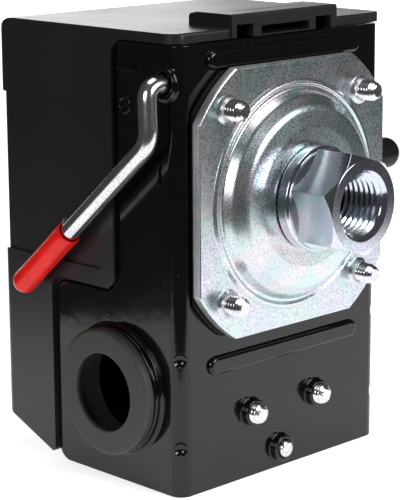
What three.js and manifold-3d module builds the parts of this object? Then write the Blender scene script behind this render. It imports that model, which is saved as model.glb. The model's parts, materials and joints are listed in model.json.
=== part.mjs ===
// Pressure switch for an air compressor, with a manual lever and a threaded port.
// Millimetres, +Z up. Every piece is drawn in the housing frame: x runs right from the outer face of
// the left wall, y runs back from the front face of the front plate, z runs up from the bottom edge.
// The last lines move the whole assembly so that its origin is the bottom centre of its box.
import * as THREE from "three";
import { mergeVertices } from "three/addons/utils/BufferGeometryUtils.js";
import Module from "manifold-3d";

const wasm = await Module();
wasm.setup();

// ---- Driving dimensions --------------------------------------------------------------------------

const GAP = 0.3; // between pieces that touch
const HOUSING = { width: 60.5, height: 92.2, sheet: 1.4, bend: 3 };
const WALL = { lowDepth: 37.8, lowHeight: 40, highDepth: 19.4, corner: 3.2, inner: 2.6 };
const MID = HOUSING.width / 2;
const RIB = { left: 8, height: 3, rise: 1, low: 26.4, high: 88.7 };
const COVER = {
  proud: 1, wall: 2, top: 94.5, back: 54, recess: 52.4, lowBack: 54.4, recessLow: 44.6, recessHigh: 78.8,
  sideRecess: 0.5, sideRecessFront: 22.5, sideFront: 18.3, lip: 41.2, foot: 1.2, slopeTop: 8, floor: 3.2,
};
const BLOCK_TOP = { left: 14.7, front: -0.2, depth: 12, top: 97.2, pocket: 7 };
const PORT_Z = 59.5;
const FLANGE = {
  half: 27.6, cornerRadius: 32.6, front: -3.2, back: -1, bead: 23.4, bore: 8.4, face: -7.9, faceBack: -6.1,
};
const HEX = {
  acrossFlats: 18.95, front: -21.7, back: -11.5, turn: 162.4, collar: 10.9, ring: 9.4, mouth: 7.2, bore: 6.3,
};
const DIAPHRAGM = { half: 27, cornerRadius: 33.2, front: -0.75, back: -0.25 };
const PISTON = { disc: 11, hole: 12.2, front: 0.1, discBack: 3.2, boss: 5, bossBack: 6, nose: 3.5 };
const SCREW = { shank: 1.95, hole: 2.25, head: 3, headHeight: 2.2 };
const FLANGE_SCREW = { dx: 19.85, dz: 19.7, tip: -8.3, collar: 1.7 };
const GROMMET = { y: 18.9, z: 19.7, hole: 8.2, flange: 13.4, neck: 10.8, steelHole: 11.1, boss: 1.6 };
const PIVOT = { y: 11, z: 88, radius: 1.5, hole: 1.75 };
const PLATE = { front: 1.8, sheet: 1.6, left: 5.5, bottom: 33, top: 81.8 };
const ROCKER = { front: 13, sheet: 1.6, left: 7.6, bottom: 33.3, top: 90.5, waistLeft: 10 };
const LEVER = { y: 3.8, z: 84.6, radius: 2, hole: 2.35, plane: -4.7 };
const LEVER_BEND = [3.2, 73.6]; // where the outer arm of the lever turns back, in y and z
const LEVER_TIP = [44.3, 37.8];
const SLEEVE = { length: 22, outer: 2.65, inner: 2.25, end: 2.6 };
const CRANK = { left: 15, right: 28, slope: 3, offset: 6.3, droop: 50 };
const RANGE = {
  x: 19, z: 45, stud: 2.9, end: 47, coil: 6.2, wire: 1, turns: 6, cupBack: 39.5, nut: 10, nutLength: 5,
};
const DIFFERENTIAL = {
  x: 41.5, z: 45, stud: 2.4, end: 40, coil: 4.4, wire: 0.7, turns: 6, cupBack: 32.1, nut: 8, nutLength: 4,
};
const CUP_TRAVEL = 1; // one turn of an adjusting nut, which the spring's end leaves free in its cup
const POST = { z: 74.5, flats: 6, back: 50, thread: 2.2, depth: 7 };
const BLOCK = { left: 7.5, bottom: 7.6, top: 27, front: 1.9, back: 14, barrier: 1.4, barrierBack: 20 };
const TERMINAL = { xs: [13.5, 24.5, 36, 47], width: 7, low: 18.4, high: 33, sheet: 1, screwZ: 22.4 };
const CONTACT = { z: 30.9, radius: 1.6, height: 0.8, bar: 1, barHeight: 4.6 };
const BLOCK_SCREW = { xs: [20.3, 39.9], z: 14.3, tip: -3.8 };
const RIVET = { x: 29, z: 4.5, radius: 1.9, tip: -2.6 };
const VALVE = {
  y: 6.5, z: 62, barrel: 2.9, hole: 3.2, inner: 55.6, end: 69.6, flats: 8,
  pin: 0.9, pinTip: 52.4, capEnd: 73.1,
};

// ---- Materials -----------------------------------------------------------------------------------

const metal = (color, roughness) => new THREE.MeshStandardMaterial({ color, roughness, metalness: 1 });
const dull = (color, roughness) => new THREE.MeshStandardMaterial({ color, roughness, metalness: 0 });
const PAINTED_STEEL = dull(0x101011, 0.15);
const BLACK_PLASTIC = dull(0x232325, 0.45);
const BLOCK_PLASTIC = dull(0x2b2522, 0.5);
const ZINC = metal(0xb9c2c4, 0.28);
const BRASS = metal(0xc9a256, 0.3);
const SPRING_STEEL = metal(0x8e8f92, 0.3);
const RUBBER = dull(0x3c3e39, 0.8);
const RED_PVC = dull(0xe3160f, 0.3);

// ---- Solids --------------------------------------------------------------------------------------

// A closed geometry as a manifold-3d solid.
function solid(geometry) {
  const bare = geometry.clone();
  bare.deleteAttribute("normal");
  bare.deleteAttribute("uv");
  const merged = mergeVertices(bare, 1e-4);
  const vertProperties = new Float32Array(merged.attributes.position.array);
  const triVerts = new Uint32Array(merged.index.array);
  return new wasm.Manifold(new wasm.Mesh({ numProp: 3, vertProperties, triVerts }));
}

function mesh(name, body, material) {
  const { vertProperties, triVerts } = body.getMesh();
  const geometry = new THREE.BufferGeometry();
  geometry.setAttribute("position", new THREE.BufferAttribute(new Float32Array(vertProperties), 3));
  geometry.setIndex(new THREE.BufferAttribute(new Uint32Array(triVerts), 1));
  geometry.computeVertexNormals();
  const made = new THREE.Mesh(geometry, material);
  made.name = name;
  return made;
}

const join = (...bodies) => bodies.reduce((whole, body) => whole.add(body));
const cut = (body, ...tools) => tools.reduce((rest, tool) => rest.subtract(tool), body);

function box([x0, x1], [y0, y1], [z0, z1]) {
  const geometry = new THREE.BoxGeometry(x1 - x0, y1 - y0, z1 - z0);
  return solid(geometry.translate((x0 + x1) / 2, (y0 + y1) / 2, (z0 + z1) / 2));
}

// An outline through corners [u, v, radius], anticlockwise, with an arc at each corner that has a radius.
function outline(corners, steps = 3) {
  return new THREE.Shape(corners.flatMap((corner, i) => {
    if (!corner[2]) return [new THREE.Vector2(corner[0], corner[1])];
    return roundedCorner(corners.at(i - 1), corner, corners[(i + 1) % corners.length], steps);
  }));
}

function roundedCorner(before, [u, v, radius], after, steps) {
  const corner = new THREE.Vector2(u, v);
  const towards = ([pu, pv]) => new THREE.Vector2(pu, pv).sub(corner).normalize();
  const toBefore = towards(before);
  const toAfter = towards(after);
  const half = Math.acos(toBefore.dot(toAfter)) / 2;
  const centre = toBefore.clone().add(toAfter).setLength(radius / Math.sin(half)).add(corner);
  const start = toBefore.clone().multiplyScalar(radius / Math.tan(half)).add(corner);
  const sweep = (Math.PI - 2 * half) * (toBefore.cross(toAfter) < 0 ? 1 : -1);
  const points = [];
  for (let i = 0; i <= steps; i++) points.push(start.clone().rotateAround(centre, (sweep * i) / steps));
  return points;
}

const rectangle = ([u0, u1], [v0, v1], r = 0) =>
  outline([[u0, v0, r], [u1, v0, r], [u1, v1, r], [u0, v1, r]]);

function circle(u, v, radius) {
  const shape = new THREE.Shape();
  shape.absarc(u, v, radius, 0, 2 * Math.PI);
  return shape;
}

// Six corners of a hexagon, the first at the angle given in degrees.
function hexagon(u, v, acrossFlats, firstCorner = 0) {
  const radius = acrossFlats / Math.sqrt(3);
  const corners = [];
  for (let i = 0; i < 6; i++) {
    const angle = THREE.MathUtils.degToRad(firstCorner + 60 * i);
    corners.push([u + radius * Math.cos(angle), v + radius * Math.sin(angle)]);
  }
  return outline(corners);
}

// Prisms: an outline in (x, y) along z, in (y, z) along x, or in (x, z) along y.
function alongZ(shape, [z0, z1], curveSegments = 3) {
  const geometry = new THREE.ExtrudeGeometry(shape, { depth: z1 - z0, bevelEnabled: false, curveSegments });
  return solid(geometry.translate(0, 0, z0));
}

function alongX(shape, [x0, x1], curveSegments = 3) {
  const geometry = new THREE.ExtrudeGeometry(shape, { depth: x1 - x0, bevelEnabled: false, curveSegments });
  const axes = [new THREE.Vector3(0, 1, 0), new THREE.Vector3(0, 0, 1), new THREE.Vector3(1, 0, 0)];
  return solid(geometry.applyMatrix4(new THREE.Matrix4().makeBasis(...axes)).translate(x0, 0, 0));
}

function alongY(shape, [y0, y1], curveSegments = 3) {
  const geometry = new THREE.ExtrudeGeometry(shape, { depth: y1 - y0, bevelEnabled: false, curveSegments });
  return solid(geometry.rotateX(Math.PI / 2).translate(0, y1, 0));
}

// Turned pieces: a profile of [radius, distance along the axis], on an axis along y or along x.
function turned(profile, segments) {
  return new THREE.LatheGeometry(profile.map(([r, along]) => new THREE.Vector2(r, along)), segments);
}

const turnedY = (x, z, profile, segments = 20) => solid(turned(profile, segments).translate(x, 0, z));

function turnedX(y, z, profile, segments = 20) {
  return solid(turned(profile, segments).rotateZ(-Math.PI / 2).translate(0, y, z));
}

const barProfile = (radius, [from, to]) => [[0, from], [radius, from], [radius, to], [0, to]];
const barY = (x, z, radius, span, segments = 16) => turnedY(x, z, barProfile(radius, span), segments);
const barX = (y, z, radius, span, segments = 16) => turnedX(y, z, barProfile(radius, span), segments);

// A round wire of a given radius swept along a curve.
function wire(curve, radius, steps, sides) {
  const section = circle(0, 0, radius);
  return solid(new THREE.ExtrudeGeometry(section, { extrudePath: curve, steps, curveSegments: sides / 2 }));
}

class Helix extends THREE.Curve {
  constructor(x, z, radius, [from, to], turns) {
    super();
    Object.assign(this, { x, z, radius, from, to, turns });
  }
  getPoint(t, target = new THREE.Vector3()) {
    const angle = 2 * Math.PI * this.turns * t;
    const along = THREE.MathUtils.lerp(this.from, this.to, t);
    return target.set(this.x + this.radius * Math.cos(angle), along, this.z + this.radius * Math.sin(angle));
  }
}

// A line that turns at its inner points along short curves that start and end at a given reach from them.
function bentPath(points, reach) {
  const path = new THREE.CurvePath();
  let from = points[0];
  for (let i = 1; i < points.length - 1; i++) {
    const enter = points[i].clone().lerp(points[i - 1], reach / points[i].distanceTo(points[i - 1]));
    const leave = points[i].clone().lerp(points[i + 1], reach / points[i].distanceTo(points[i + 1]));
    path.add(new THREE.LineCurve3(from, enter));
    path.add(new THREE.QuadraticBezierCurve3(enter, points[i], leave));
    from = leave;
  }
  path.add(new THREE.LineCurve3(from, points.at(-1)));
  return path;
}

// ---- Housing -------------------------------------------------------------------------------------

// The side of a steel wall, in (y, z), grown by a margin where something has to clear it.
function wallSide(margin = 0) {
  const { lowDepth, lowHeight, highDepth, corner, inner } = WALL;
  return outline([
    [-9, -margin],
    [lowDepth + margin, -margin, corner],
    [lowDepth + margin, lowHeight + margin, corner],
    [highDepth + margin, lowHeight + margin, inner],
    [highDepth + margin, HOUSING.height + margin, corner],
    [-9, HOUSING.height + margin],
  ]);
}

function steelChannel() {
  const { width, height, sheet, bend } = HOUSING;
  const depth = WALL.lowDepth;
  const plan = outline([
    [0, 0, bend], [width, 0, bend], [width, depth], [width - sheet, depth],
    [width - sheet, sheet, bend - sheet], [sheet, sheet, bend - sheet], [sheet, depth], [0, depth],
  ]);
  return alongZ(plan, [0, height]).intersect(alongX(wallSide(), [-1, width + 1]));
}

// A stadium-shaped stiffening rib that stands out of the front plate.
function rib(z) {
  const half = RIB.height / 2;
  const across = [RIB.left, HOUSING.width - RIB.left];
  return alongY(rectangle(across, [z - half, z + half], half * 0.98), [-RIB.rise, 0.2]);
}

// A shallow dent pressed across a vertical bend at the height z.
function bendDent(x, z) {
  const side = 3;
  const bar = new THREE.BoxGeometry(side, side, 3.6).rotateZ(Math.PI / 4);
  const inwards = x ? -1 : 1;
  const reach = 1.05;
  return solid(bar.translate(x + inwards * (reach - side / Math.SQRT2), reach - side / Math.SQRT2, z));
}

const flangeScrewPlaces = () =>
  [["ul", -1, 1], ["ur", 1, 1], ["ll", -1, -1], ["lr", 1, -1]].map(([corner, sx, sz]) => ({
    corner, x: MID + sx * FLANGE_SCREW.dx, z: PORT_Z + sz * FLANGE_SCREW.dz,
  }));

function chassis() {
  const { width, sheet } = HOUSING;
  const { y, z, steelHole, flange, boss } = GROMMET;
  const collar = (x, cz) => barY(x, cz, 2.7, [-1.7, 0.2]);
  const bosses = [[-boss, 0.2], [width - 0.2, width + boss]];
  const leverRim = barX(LEVER.y, LEVER.z, LEVER.hole + 0.9, [-0.6, 0.9], 20);
  const latchLedge = box([-0.6, 0.2], [12, 17.6], [86.2, 87.3]);
  const body = join(
    steelChannel(), rib(RIB.low), rib(RIB.high), leverRim, latchLedge,
    ...bosses.map((span) => barX(y, z, flange, span, 28)),
    ...BLOCK_SCREW.xs.map((x) => collar(x, BLOCK_SCREW.z)), collar(RIVET.x, RIVET.z),
  );
  const through = [-3, 2 * sheet];
  return cut(
    body,
    barY(MID, PORT_Z, PISTON.hole, through, 24),
    ...flangeScrewPlaces().map((place) => barY(place.x, place.z, SCREW.hole, through, 12)),
    ...BLOCK_SCREW.xs.map((x) => barY(x, BLOCK_SCREW.z, SCREW.hole, through, 12)),
    barY(RIVET.x, RIVET.z, RIVET.radius + GAP, through, 12),
    barX(y, z, steelHole, [-3, 3], 24), barX(y, z, steelHole, [width - 3, width + 3], 24),
    barX(LEVER.y, LEVER.z, LEVER.hole, [-3, width + 2]),
    barX(VALVE.y, VALVE.z, VALVE.hole, [width - 4, width + 2]),
    ...[10.4, 29].flatMap((dentZ) => [bendDent(0, dentZ), bendDent(width, dentZ)]),
  );
}

// Rubber grommet: outer flange on the steel boss, neck in the hole, smaller flange inside.
function grommet() {
  const { hole, flange, neck, boss } = GROMMET;
  const outside = -boss - GAP;
  const inside = HOUSING.sheet + GAP;
  return turned([
    [hole, outside - 2.2], [hole, inside + 1.9], [neck + 1.8, inside + 1.9], [neck + 1.8, inside],
    [neck, inside], [neck, outside], [flange, outside], [flange, outside - 1.5],
    [flange - 0.7, outside - 2.2],
    [hole, outside - 2.2],
  ].reverse(), 24);
}

function grommets() {
  const { y, z } = GROMMET;
  const left = solid(grommet().rotateZ(-Math.PI / 2).translate(0, y, z));
  const right = solid(grommet().rotateZ(Math.PI / 2).translate(HOUSING.width, y, z));
  return [mesh("grommet_left", left, RUBBER), mesh("grommet_right", right, RUBBER)];
}

// ---- Cover ---------------------------------------------------------------------------------------

const COVER_FRONT = 0.3;

function coverSide() {
  const { top, back, recess, lowBack, recessLow, recessHigh, sideFront, lip, foot, slopeTop } = COVER;
  const lowFront = WALL.lowDepth + GAP;
  return outline([
    [lowFront, foot, 0.8], [lowBack, slopeTop, 2], [lowBack, recessLow - 0.4, 0.5], [recess, recessLow],
    [recess, recessHigh], [back, recessHigh + 0.3, 0.5], [back, top, 4.5], [COVER_FRONT, top, 0.8],
    [COVER_FRONT, HOUSING.height + GAP], [sideFront, HOUSING.height + GAP, WALL.corner],
    [sideFront, lip, 2.5],
    [lowFront, lip, WALL.corner],
  ]);
}

function coverInside() {
  const { wall, top, back, recess, lowBack, recessLow, recessHigh, slopeTop, floor } = COVER;
  return outline([
    [-5, floor], [WALL.lowDepth, floor], [lowBack - wall, slopeTop + 1.4], [lowBack - wall, recessLow - wall],
    [recess - wall, recessLow - 1], [recess - wall, recessHigh + 1], [back - wall, recessHigh + wall],
    [back - wall, top - wall, 2.5], [-5, top - wall],
  ]);
}

// Inner tongue that slips behind the low part of a steel wall and closes the joint.
const coverTongue = () =>
  outline([[33.5, 5], [39.5, 5], [39.5, 43.6], [21.5, 43.6], [21.5, 36], [33.5, 36, 2]]);

// Three square pockets in the front of the raised block on top.
function topPockets() {
  const { front, pocket } = BLOCK_TOP;
  const side = [[16.1, 20.8], [39.3, 44]].map((across) => box(across, [front - 1, pocket], [93, 95.1]));
  return [...side, box([23.2, 37.3], [front - 1, pocket], [93, 94.5])];
}

function cover() {
  const { proud, wall, sideRecess, sideRecessFront, recessLow, recessHigh, foot, floor, back } = COVER;
  const left = -proud;
  const right = HOUSING.width + proud;
  const plan = outline([
    [left, COVER_FRONT, HOUSING.bend], [right, COVER_FRONT, HOUSING.bend],
    [right, back + 2], [left, back + 2],
  ]);
  const outside = alongX(coverSide(), [left, right]).intersect(alongZ(plan, [0, COVER.top + 1]));
  const shell = cut(outside, alongX(coverInside(), [left + wall, right - wall]));
  const block = box(
    [BLOCK_TOP.left, HOUSING.width - BLOCK_TOP.left],
    [BLOCK_TOP.front, BLOCK_TOP.depth],
    [HOUSING.height + GAP, BLOCK_TOP.top],
  );
  const bottom = box([2.1, HOUSING.width - 2.1], [6.5, WALL.lowDepth + 2], [foot, floor]);
  const steelClearance = alongX(wallSide(GAP), [-GAP, HOUSING.width + GAP]);
  const tongues = [[0.5, 3.2], [HOUSING.width - 3.2, HOUSING.width - 0.5]].map((across) => cut(
    alongX(coverTongue(), across),
    alongX(wallSide(GAP), [-GAP, HOUSING.sheet + GAP]),
    alongX(wallSide(GAP), [HOUSING.width - HOUSING.sheet - GAP, HOUSING.width + GAP]),
  ));
  const recessSpan = [sideRecessFront, back + 5];
  const sides = [[left - 1, left + sideRecess], [right - sideRecess, right + 1]];
  return cut(
    join(cut(shell, steelClearance), block, bottom, ...tongues),
    ...topPockets(),
    ...sides.map((across) => box(across, recessSpan, [recessLow, recessHigh])),
    barY(MID, POST.z, SCREW.hole, [COVER.recess - 3, COVER.recess + 2], 12),
  );
}

function coverScrew() {
  const seat = COVER.recess + GAP;
  const profile = [
    [0, seat - 8], [SCREW.shank, seat - 8], [SCREW.shank, seat], [3.6, seat], [3.6, seat + 1.2], [0, seat + 1.7],
  ];
  const slot = box([MID - 5, MID + 5], [seat + 0.9, seat + 3], [POST.z - 0.5, POST.z + 0.5]);
  return cut(turnedY(MID, POST.z, profile), slot);
}

function coverPost() {
  const foot = PLATE.front + PLATE.sheet + GAP;
  return cut(
    join(
      alongY(hexagon(MID, POST.z, POST.flats), [foot, POST.back]),
      barY(MID, POST.z, 1.6, [PLATE.front, foot + 1], 12),
    ),
    barY(MID, POST.z, POST.thread, [POST.back - POST.depth, POST.back + 1], 12),
  );
}

// ---- Pressure side -------------------------------------------------------------------------------

// A square with sides of twice a half width, its corners cut by a circle.
function cutSquare({ half, cornerRadius }, span) {
  const square = box([MID - half, MID + half], span, [PORT_Z - half, PORT_Z + half]);
  return square.intersect(barY(MID, PORT_Z, cornerRadius, span, 48));
}

function diaphragm() {
  const sheet = cutSquare(DIAPHRAGM, [DIAPHRAGM.front, DIAPHRAGM.back]);
  return cut(sheet, ...flangeScrewPlaces().map(({ x, z }) => barY(x, z, SCREW.hole, [-2, 1], 12)));
}

// The stamped flange: plate, bead and flat-topped dome, hollow behind, with a raised collar at each screw.
function diaphragmFlange() {
  const { front, back, bead, bore, face, faceBack } = FLANGE;
  const outer = [
    [0, face], [15, face], [18, -7.3], [20.4, -5.6], [21.7, -3.8], [22.4, -3.6], [23, -3.8], [bead, front],
    [bead, back], [0, back],
  ];
  const inner = [
    [0, faceBack], [14.4, faceBack], [17.4, -5.4], [19.4, -4], [20.4, -2.6], [20.4, back + 1], [0, back + 1],
  ];
  const collarFront = front - FLANGE_SCREW.collar;
  const collar = ({ x, z }) =>
    turnedY(x, z, [[0, collarFront], [2.7, collarFront], [3.6, front + 0.2], [0, front + 0.2]]);
  return cut(
    join(
      cutSquare(FLANGE, [front, back]), turnedY(MID, PORT_Z, outer, 32), ...flangeScrewPlaces().map(collar),
    ),
    turnedY(MID, PORT_Z, inner, 32),
    barY(MID, PORT_Z, bore, [face - 1, back], 24),
    ...flangeScrewPlaces().map(({ x, z }) => barY(x, z, SCREW.hole, [-7, 1], 12)),
  );
}

// The hexagon fitting with its round chamfer and collar, bore, and the spigot that is staked in the flange.
function portHex() {
  const { acrossFlats, front, back, turn, collar, ring, mouth, bore } = HEX;
  const corner = acrossFlats / Math.sqrt(3);
  const chamfer = corner - ring;
  const envelope = [[0, front], [ring, front], [corner, front + chamfer], [corner, back], [0, back]];
  const hex = alongY(hexagon(MID, PORT_Z, acrossFlats, turn), [front - 1, back]);
  const collarEnd = FLANGE.face - GAP;
  const spigotEnd = FLANGE.faceBack;
  const way = [
    [0, front - 1], [mouth + 0.8, front - 1], [mouth, front], [bore, front + 1.2],
    [bore, spigotEnd + 1], [0, spigotEnd + 1],
  ];
  return cut(
    join(
      hex.intersect(turnedY(MID, PORT_Z, envelope, 36)),
      barY(MID, PORT_Z, collar, [back, collarEnd], 36),
      barY(MID, PORT_Z, FLANGE.bore - GAP, [back, spigotEnd], 24),
    ),
    turnedY(MID, PORT_Z, way, 24),
  );
}

// A screw along y with its head at the back, as from inside the housing.
function screw(x, z, tip, seat, head = SCREW.head) {
  const { shank, headHeight } = SCREW;
  const profile = [
    [0, tip], [shank - 0.6, tip], [shank, tip + 0.9], [shank, seat],
    [head, seat], [head, seat + headHeight - 0.7],
    [head - 0.9, seat + headHeight], [0, seat + headHeight],
  ];
  const drive = [box([x - 1.6, x + 1.6], [seat + 1.2, seat + 3], [z - 0.35, z + 0.35])];
  drive.push(box([x - 0.35, x + 0.35], [seat + 1.2, seat + 3], [z - 1.6, z + 1.6]));
  return cut(turnedY(x, z, profile, 16), ...drive);
}

function flangeScrews() {
  const seat = PLATE.front + PLATE.sheet + GAP;
  return flangeScrewPlaces().map(({ corner, x, z }) =>
    mesh("flange_screw_" + corner, screw(x, z, FLANGE_SCREW.tip, seat), ZINC));
}

// Disc and nose that pass the diaphragm's push on to the rocker plate.
function pressurePlate() {
  const { disc, front, discBack, boss, bossBack, nose } = PISTON;
  const tip = ROCKER.front - GAP;
  return turnedY(MID, PORT_Z, [
    [0, front], [disc, front], [disc, discBack],
    [boss, discBack + 0.6], [boss, bossBack], [nose, bossBack + 1],
    [nose, tip - 1], [nose - 1.4, tip - 0.2], [0, tip],
  ], 24);
}

// ---- Mechanism -----------------------------------------------------------------------------------

const studPlaces = [RANGE, DIFFERENTIAL];

// Steel bracket behind the front plate: it carries the studs and, in its two ears, the pivot pin.
function mechanismBracket() {
  const { front, sheet, left, bottom, top } = PLATE;
  const right = HOUSING.width - left;
  const ear = outline([
    [front, 68], [5, 68], [14.5, 80, 1.5], [14.5, 90.8, 2], [front, 90.8, 1],
  ]);
  const ears = [[left, left + sheet], [right - sheet, right]].map((across) => alongX(ear, across));
  const shaftTall = [LEVER.z - LEVER.hole, LEVER.z + LEVER.hole];
  const shaftSlot = box([left - 1, right + 1], [front - 1, LEVER.y], shaftTall);
  const crankWide = [CRANK.left - 1, CRANK.right + 1];
  const crankNotch = box(crankWide, [front - 1, front + sheet + 1], [top - 1.4, top + 1]);
  return cut(
    join(alongY(rectangle([left, right], [bottom, top], 2), [front, front + sheet]), ...ears),
    shaftSlot,
    crankNotch,
    barX(LEVER.y, LEVER.z, LEVER.hole, [left - 1, right + 1]),
    barX(PIVOT.y, PIVOT.z, PIVOT.hole, [left - 1, right + 1]),
    barY(MID, PORT_Z, PISTON.hole, [0, 5], 24),
    barY(MID, POST.z, 1.9, [0, 5], 12),
    ...flangeScrewPlaces().map(({ x, z }) => barY(x, z, SCREW.hole, [0, 5], 12)),
    ...studPlaces.map(({ x, z, stud }) => barY(x, z, stud, [0, 5], 12)),
  );
}

// Pivoted plate that the pressure plate pushes back against the springs.
function rockerPlate() {
  const { front, sheet, left, bottom, top, waistLeft } = ROCKER;
  const back = front + sheet;
  const right = HOUSING.width - left;
  const plate = outline([
    [waistLeft, bottom, 2], [HOUSING.width - waistLeft, bottom, 2], [HOUSING.width - waistLeft, 80],
    [right, 83], [right, top], [left, top], [left, 83], [waistLeft, 80],
  ]);
  const ear = outline([[back, 84], [back, top], [8.2, top, 2], [8.2, 84.6, 2]]);
  const ears = [[left, left + sheet], [right - sheet, right]].map((across) => alongX(ear, across));
  const ramp = outline([[48.9, back], [48.9, 4.2], [53, 4.2], [53, 5.2], [50.5, 7.9], [50.5, back]]);
  return cut(
    join(alongY(plate, [front, back]), ...ears, alongZ(ramp, [VALVE.z - 3, VALVE.z + 3])),
    barX(PIVOT.y, PIVOT.z, PIVOT.hole, [left - 1, right + 1]),
    barY(MID, POST.z, 4.8, [front - 1, back + 1], 24),
    ...studPlaces.map(({ x, z, stud }) => barY(x, z, stud + 1.2, [front - 1, back + 1], 20)),
  );
}

// Adjusting group on one stud: stud, coil spring, cup and nut.
function springGroup(label, { x, z, stud, end, coil, wire: wireRadius, turns, cupBack, nut, nutLength }) {
  const foot = PLATE.front + PLATE.sheet + GAP;
  const rod = turnedY(x, z, [
    [0, PLATE.front], [stud - GAP, PLATE.front], [stud - GAP, foot],
    [stud + 1.7, foot], [stud + 1.7, foot + 1.5],
    [stud, foot + 1.5], [stud, end - 0.8], [stud - 0.8, end], [0, end],
  ], 16);
  const cupFloor = cupBack - 1.2;
  const cup = cut(
    barY(x, z, coil + wireRadius + 1.3, [cupFloor - 3.4, cupBack], 20),
    barY(x, z, coil + wireRadius + 0.4, [cupFloor - 4, cupFloor], 20),
    barY(x, z, stud + GAP, [cupFloor - 1, cupBack + 1]),
  );
  const span = [ROCKER.front + ROCKER.sheet + GAP + wireRadius, cupFloor - CUP_TRAVEL - GAP - wireRadius];
  const nutFront = cupBack + GAP;
  const nutBody = alongY(hexagon(x, z, nut, 30), [nutFront, nutFront + nutLength]);
  const nutHole = barY(x, z, stud + GAP, [nutFront - 1, nutFront + nutLength + 1]);
  const helix = new Helix(x, z, coil, span, turns);
  return [
    mesh(label + "_stud", rod, ZINC),
    mesh(label + "_spring", wire(helix, wireRadius, turns * 10, 4), SPRING_STEEL),
    mesh(label + "_spring_cup", cup, ZINC),
    mesh(label + "_nut", cut(nutBody, nutHole), ZINC),
  ];
}

// ---- Contacts ------------------------------------------------------------------------------------

const bridgeCentres = [0, 2].map((i) => (TERMINAL.xs[i] + TERMINAL.xs[i + 1]) / 2);
const TERMINAL_FRONT = BLOCK.back + GAP;
const FIXED_CONTACT = TERMINAL_FRONT + TERMINAL.sheet + CONTACT.height;
const BRIDGE_FRONT = FIXED_CONTACT + GAP;
const CARRIER_FRONT = BRIDGE_FRONT + CONTACT.height + CONTACT.bar + GAP;

function terminalBlock() {
  const { left, bottom, top, front, back, barrier, barrierBack } = BLOCK;
  const right = HOUSING.width - left;
  const foot = box([RIVET.x - 9, RIVET.x + 9], [front, 4.2], [2.2, bottom + 1]);
  const between = TERMINAL.xs.slice(1).map((x, i) => (x + TERMINAL.xs[i]) / 2);
  const walls = [left + barrier / 2, ...between, right - barrier / 2];
  const barriers = walls.map((x) =>
    box([x - barrier / 2, x + barrier / 2], [back - 1, barrierBack], [TERMINAL.low - 1, top - 0.6]));
  return cut(
    join(box([left, right], [front, back], [bottom, top]), foot, ...barriers),
    ...BLOCK_SCREW.xs.map((x) => barY(x, BLOCK_SCREW.z, SCREW.hole, [0, back + 1], 12)),
    ...TERMINAL.xs.map((x) => barY(x, TERMINAL.screwZ, SCREW.hole, [back - 8, back + 1], 12)),
    barY(RIVET.x, RIVET.z, RIVET.radius + GAP, [0, 6], 12),
  );
}

// A flat brass terminal with its fixed contact.
function terminal(x, i) {
  const half = TERMINAL.width / 2;
  const back = TERMINAL_FRONT + TERMINAL.sheet;
  const face = rectangle([x - half, x + half], [TERMINAL.low, TERMINAL.high], 0.8);
  const strip = alongY(face, [TERMINAL_FRONT, back], 1);
  const body = cut(
    join(strip, barY(x, CONTACT.z, CONTACT.radius, [back - 0.2, FIXED_CONTACT])),
    barY(x, TERMINAL.screwZ, SCREW.hole, [TERMINAL_FRONT - 1, back + 1], 12),
  );
  return mesh("terminal_" + (i + 1), body, BRASS);
}

function terminalScrew(x, i) {
  const seat = TERMINAL_FRONT + TERMINAL.sheet + GAP;
  return mesh("terminal_screw_" + (i + 1), screw(x, TERMINAL.screwZ, BLOCK.back - 6, seat), ZINC);
}

function contactBridge(centre, side) {
  const reach = (TERMINAL.xs[1] - TERMINAL.xs[0]) / 2;
  const front = BRIDGE_FRONT + CONTACT.height;
  const span = [centre - reach - 2, centre + reach + 2];
  const tall = [CONTACT.z - CONTACT.barHeight / 2, CONTACT.z + CONTACT.barHeight / 2];
  const tipSpan = [BRIDGE_FRONT, front + 0.2];
  const tips = [centre - reach, centre + reach].map((x) => barY(x, CONTACT.z, CONTACT.radius, tipSpan));
  return mesh("contact_bridge_" + side, join(box(span, [front, front + CONTACT.bar], tall), ...tips), BRASS);
}

const POCKET = { radius: 2.5, depth: 3.4 };

function contactSpring(centre, side) {
  const wireRadius = 0.35;
  const span = [CARRIER_FRONT + wireRadius + 0.1, CARRIER_FRONT + POCKET.depth - wireRadius - 0.2];
  const helix = new Helix(centre, CONTACT.z, 1.7, span, 4);
  return mesh("contact_spring_" + side, wire(helix, wireRadius, 32, 4), SPRING_STEEL);
}

// Moulded bar on the rocker's lower end that carries both contact bridges.
function contactCarrier() {
  const back = CARRIER_FRONT + 4.6;
  const across = [11, HOUSING.width - 11];
  const bar = alongY(rectangle(across, [28, 35], 1), [CARRIER_FRONT, back], 2);
  const web = box([13, HOUSING.width - 13], [ROCKER.front + ROCKER.sheet + GAP, back], [33.6, 36.9]);
  const pockets = bridgeCentres.map((x) =>
    barY(x, CONTACT.z, POCKET.radius, [CARRIER_FRONT - 1, CARRIER_FRONT + POCKET.depth]));
  return cut(join(bar, web), ...pockets);
}

function blockRivet() {
  const { x, z, radius, tip } = RIVET;
  const profile = [[0, tip], [radius, tip + 0.3], [radius, 4.5], [2.6, 4.5], [2.6, 5.2], [1.6, 5.6], [0, 5.6]];
  return turnedY(x, z, profile, 16);
}

// ---- Lever ---------------------------------------------------------------------------------------

const inLeverPlane = ([y, z]) => new THREE.Vector3(LEVER.plane, y, z);

function leverDirection() {
  return inLeverPlane(LEVER_TIP).sub(inLeverPlane(LEVER_BEND)).normalize();
}

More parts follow.
